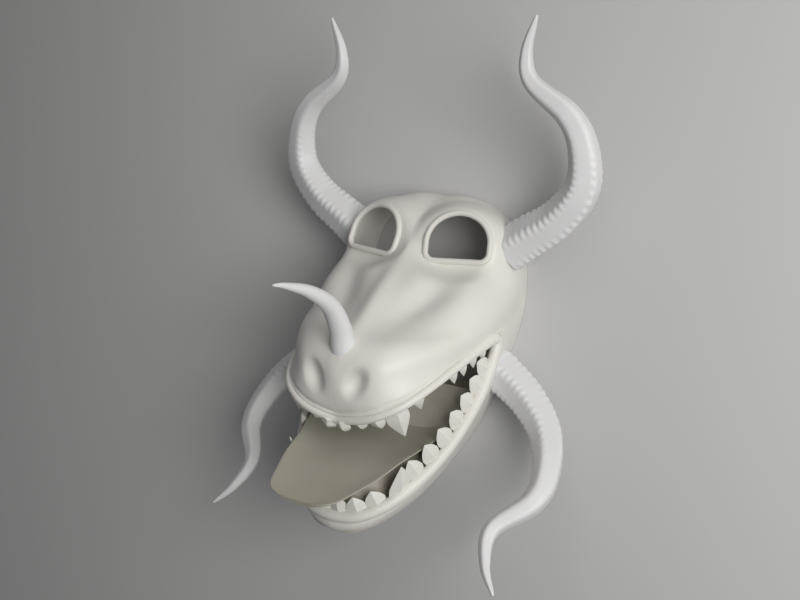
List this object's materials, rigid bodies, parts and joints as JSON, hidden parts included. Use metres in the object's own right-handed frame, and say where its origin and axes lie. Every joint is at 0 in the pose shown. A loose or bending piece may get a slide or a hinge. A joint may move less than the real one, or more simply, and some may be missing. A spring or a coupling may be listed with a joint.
{
  "type": "vejigante mask",
  "caption": "Horned beast mask in white printed plastic: hollow open-jawed head with eye holes, bared teeth and tongue, curved ribbed side horns and a nose horn.",
  "frame": {"origin": "on the plane of the rear rim, under the middle of the whole mask's box", "axes": "+Z from the rear rim towards the muzzle, +Y towards the crown and the upper horns, +X towards the mask's left side, which is on the right as one looks at its face"},
  "size_m": [0.322, 0.4566, 0.2623],
  "materials": {
    "face_white": "satin, with faint print layers",
    "horn_white": "satin, a little cooler and glossier than the face"
  },
  "bodies": {
    "root": {"mask_shell": "face_white", "upper_horn_right": "horn_white", "upper_horn_left": "horn_white", "lower_horn_right": "horn_white", "lower_horn_left": "horn_white", "nose_horn": "horn_white"}
  },
  "joints": []
}
